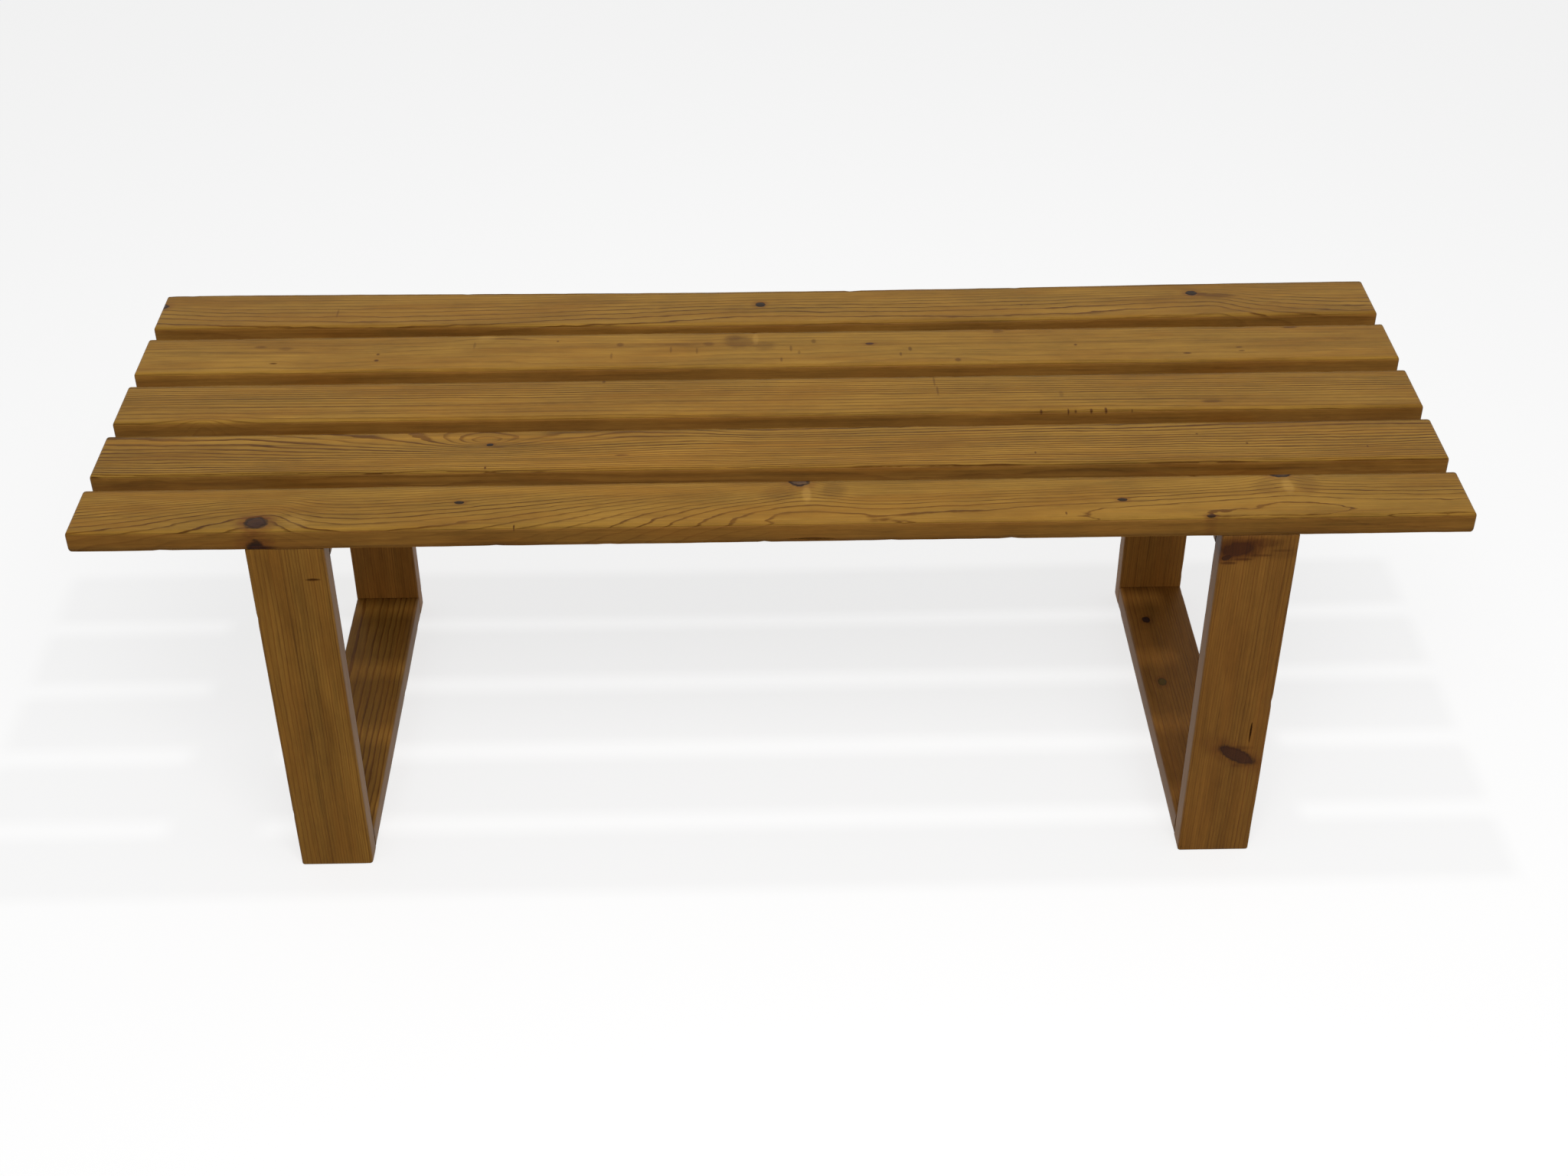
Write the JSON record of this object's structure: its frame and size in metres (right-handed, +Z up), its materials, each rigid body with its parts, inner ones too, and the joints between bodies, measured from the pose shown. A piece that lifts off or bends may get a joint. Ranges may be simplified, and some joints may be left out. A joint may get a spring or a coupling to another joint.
{
  "type": "slatted bench",
  "caption": "Low slatted bench in varnished pine: flat seat slats with open gaps, screwed from below to two box-shaped leg frames with dowelled corners.",
  "frame": {"origin": "on the floor, under the middle of the seat", "axes": "+X along the bench to its right end, +Y from the front to the back, +Z up"},
  "size_m": [1.25, 0.436, 0.402],
  "materials": {
    "pine_seat": "satin amber varnish on pine",
    "pine_frame": "satin amber varnish on pine",
    "dowel_beech": "bare turned beech",
    "zinc_screw": "dull zinc plate"
  },
  "bodies": {
    "root": {"slat_1": "pine_seat", "slat_2": "pine_seat", "slat_3": "pine_seat", "slat_4": "pine_seat", "slat_5": "pine_seat", "left_front_upright": "pine_frame", "left_rear_upright": "pine_frame", "right_front_upright": "pine_frame", "right_rear_upright": "pine_frame", "left_top_rail": "pine_frame", "left_foot_rail": "pine_frame", "right_top_rail": "pine_frame", "right_foot_rail": "pine_frame", "left_front_top_dowels": "dowel_beech", "left_front_foot_dowels": "dowel_beech", "left_rear_top_dowels": "dowel_beech", "left_rear_foot_dowels": "dowel_beech", "right_front_top_dowels": "dowel_beech", "right_front_foot_dowels": "dowel_beech", "right_rear_top_dowels": "dowel_beech", "right_rear_foot_dowels": "dowel_beech", "left_slat_1_screws": "zinc_screw", "left_slat_2_screws": "zinc_screw", "left_slat_3_screws": "zinc_screw", "left_slat_4_screws": "zinc_screw", "left_slat_5_screws": "zinc_screw", "right_slat_1_screws": "zinc_screw", "right_slat_2_screws": "zinc_screw", "right_slat_3_screws": "zinc_screw", "right_slat_4_screws": "zinc_screw", "right_slat_5_screws": "zinc_screw"}
  },
  "joints": []
}
